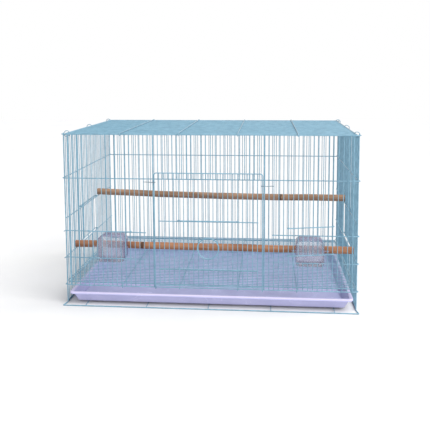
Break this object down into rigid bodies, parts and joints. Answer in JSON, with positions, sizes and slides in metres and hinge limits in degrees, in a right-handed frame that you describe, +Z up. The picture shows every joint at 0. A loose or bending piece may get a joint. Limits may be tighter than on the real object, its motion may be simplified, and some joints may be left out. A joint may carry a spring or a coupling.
{
  "type": "wire bird cage",
  "caption": "Knock-down wire cage for small birds, with a drop-down front door, lift doors, hooded feeder cups, wooden perches, a floor grate and a pull-out tray.",
  "frame": {"origin": "middle of the footprint, on the surface that the base stands on", "axes": "+X to the right seen from the front door, +Y to the back, +Z up"},
  "size_m": [0.7732, 0.4836, 0.4617],
  "materials": {
    "coated_wire": "light blue powder or dip coat on steel wire",
    "bright_wire": "plain galvanised wire",
    "tray_plastic": "lavender glossy moulded plastic",
    "clear_plastic": "clear moulded plastic",
    "perch_wood": "plain turned dowel"
  },
  "bodies": {
    "cage": {"front_panel": "coated_wire", "back_panel": "coated_wire", "left_side_panel": "coated_wire", "right_side_panel": "coated_wire", "top_panel": "coated_wire", "floor_grate": "coated_wire", "base_frame": "coated_wire", "top_loop_left_front": "coated_wire", "top_loop_left_middle": "coated_wire", "top_loop_left_rear": "coated_wire", "top_loop_right_front": "coated_wire", "top_loop_right_middle": "coated_wire", "top_loop_right_rear": "coated_wire"},
    "front_door": {"front_door": "coated_wire"},
    "small_door": {"small_door": "coated_wire", "small_door_ring": "coated_wire"},
    "left_feeder_door": {"left_feeder_door": "coated_wire"},
    "right_feeder_door": {"right_feeder_door": "coated_wire"},
    "left_nest_door": {"left_nest_door": "coated_wire"},
    "right_nest_door": {"right_nest_door": "coated_wire"},
    "left_latch": {"left_latch": "bright_wire"},
    "right_latch": {"right_latch": "bright_wire"},
    "tray": {"tray": "tray_plastic"},
    "upper_perch": {"upper_perch": "perch_wood"},
    "lower_perch": {"lower_perch": "perch_wood"},
    "left_feeder_cup": {"left_feeder_cup": "clear_plastic"},
    "right_feeder_cup": {"right_feeder_cup": "clear_plastic"}
  },
  "joints": [
    {"name": "front_door_swing", "type": "hinge", "parent": "cage", "child": "front_door", "pos_m": [0, -0.22026, 0.05], "axis": [1, 0, 0], "range_deg": [0, 90]},
    {"name": "small_door_lift", "type": "slide", "parent": "front_door", "child": "small_door", "axis": [0, 0, 1], "range_m": [0, 0.115]},
    {"name": "left_feeder_door_lift", "type": "slide", "parent": "cage", "child": "left_feeder_door", "axis": [0, 0, 1], "range_m": [0, 0.064]},
    {"name": "right_feeder_door_lift", "type": "slide", "parent": "cage", "child": "right_feeder_door", "axis": [0, 0, 1], "range_m": [-0.0165, 0.043]},
    {"name": "left_nest_door_lift", "type": "slide", "parent": "cage", "child": "left_nest_door", "axis": [0, 0, 1], "range_m": [0, 0.095]},
    {"name": "right_nest_door_lift", "type": "slide", "parent": "cage", "child": "right_nest_door", "axis": [0, 0, 1], "range_m": [0, 0.095]},
    {"name": "left_latch_turn", "type": "hinge", "parent": "front_door", "child": "left_latch", "pos_m": [-0.13996, -0.22676, 0.331], "axis": [0, 0, 1], "range_deg": [0, 100]},
    {"name": "right_latch_turn", "type": "hinge", "parent": "front_door", "child": "right_latch", "pos_m": [0.13996, -0.22676, 0.324], "axis": [0, 0, -1], "range_deg": [0, 100]},
    {"name": "tray_pull", "type": "slide", "parent": "cage", "child": "tray", "axis": [0, -1, 0], "range_m": [0, 0.4]},
    {"name": "upper_perch_lift", "type": "slide", "parent": "cage", "child": "upper_perch", "axis": [0, 0, 1], "range_m": [0, 0.05]},
    {"name": "lower_perch_lift", "type": "slide", "parent": "cage", "child": "lower_perch", "axis": [0, 0, 1], "range_m": [0, 0.05]},
    {"name": "left_feeder_cup_lift", "type": "slide", "parent": "cage", "child": "left_feeder_cup", "axis": [0, 0, 1], "range_m": [0, 0.009]},
    {"name": "right_feeder_cup_lift", "type": "slide", "parent": "cage", "child": "right_feeder_cup", "axis": [0, 0, 1], "range_m": [0, 0.009]}
  ]
}
